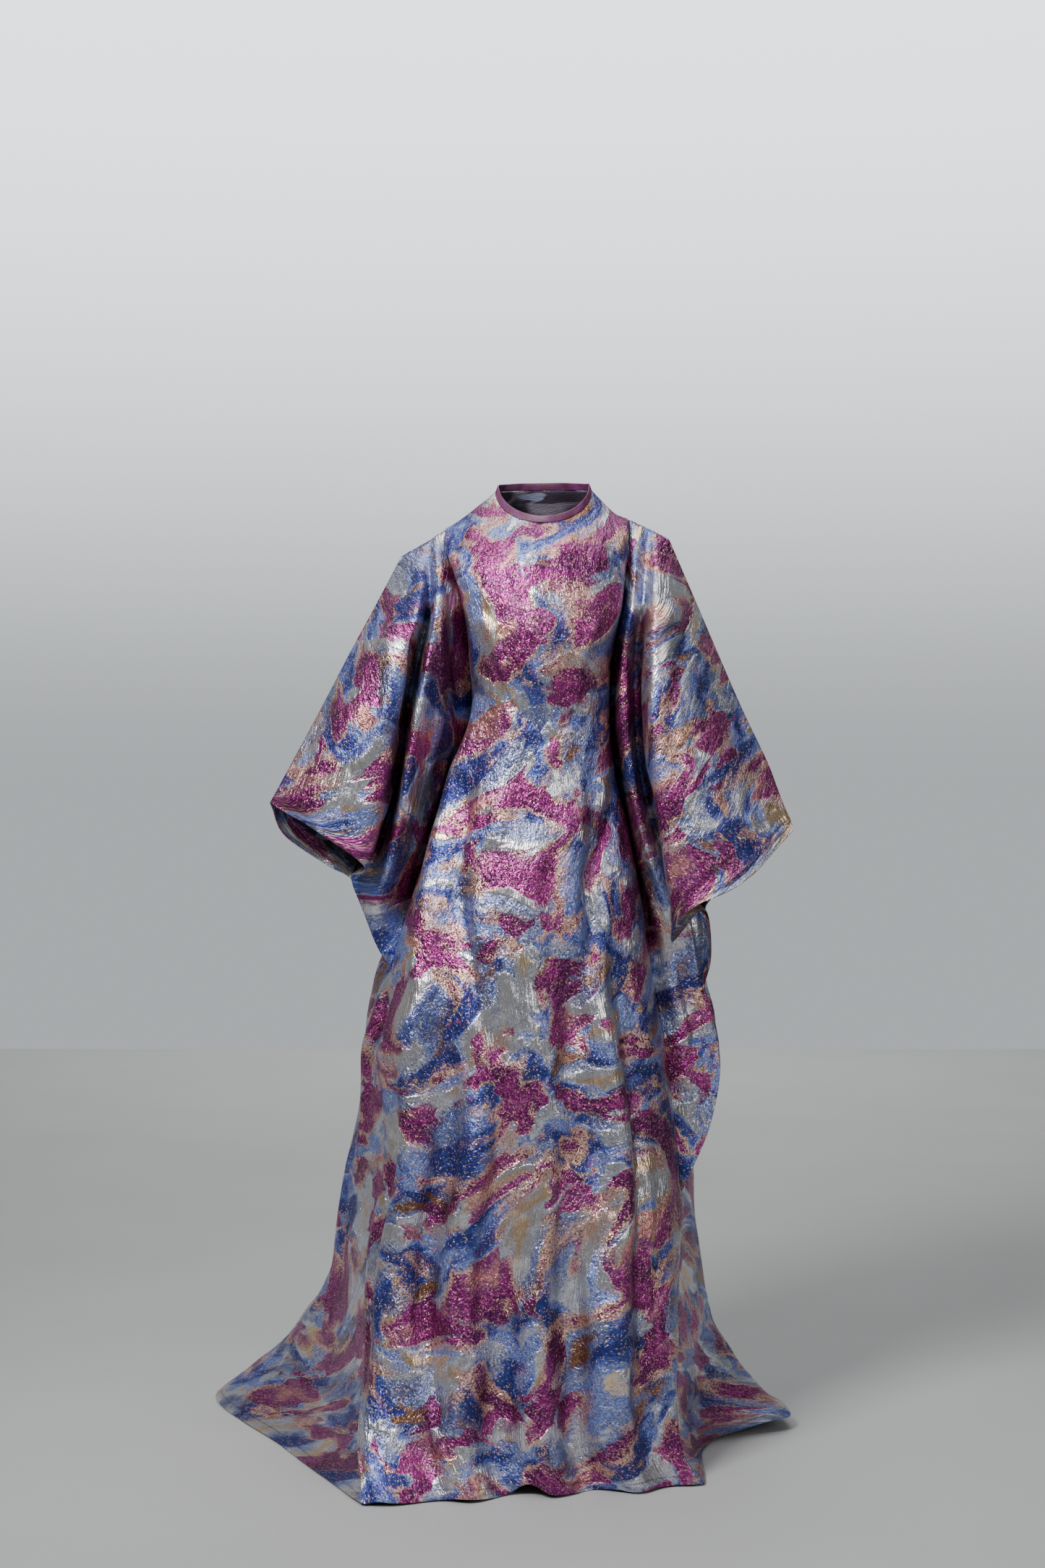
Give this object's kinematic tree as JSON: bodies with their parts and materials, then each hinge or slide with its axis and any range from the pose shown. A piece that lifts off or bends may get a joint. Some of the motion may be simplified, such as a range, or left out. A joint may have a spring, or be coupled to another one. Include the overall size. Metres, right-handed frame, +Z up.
{
  "type": "kaftan",
  "caption": "Floor-length batwing kaftan of marbled brocade, hollow as worn, with wide open cuffs, a drape at each side and a train spread on the floor.",
  "frame": {"origin": "middle of the neck base between the shoulders, where the wearer holds the garment up, 1.40 m above the floor", "axes": "+Z up, +X to the right of someone who looks at the front, -Y out of the front"},
  "size_m": [0.9197, 0.795, 1.4658],
  "materials": {
    "brocade_front": "marbled lame brocade in plum, magenta, blue, silver and gold",
    "brocade_back": "marbled lame brocade in plum, magenta, blue, silver and gold",
    "brocade_sleeve": "marbled lame brocade in plum, magenta, blue, silver and gold",
    "binding": "plain woven binding"
  },
  "bodies": {
    "root": {"front_upper": "brocade_front", "front_lower": "brocade_front", "back_upper": "brocade_back", "back_lower": "brocade_back", "left_sleeve_front": "brocade_sleeve", "left_sleeve_back": "brocade_sleeve", "right_sleeve_front": "brocade_sleeve", "right_sleeve_back_upper": "brocade_sleeve", "right_sleeve_back_lower": "brocade_sleeve", "neck_binding": "binding"}
  },
  "joints": []
}
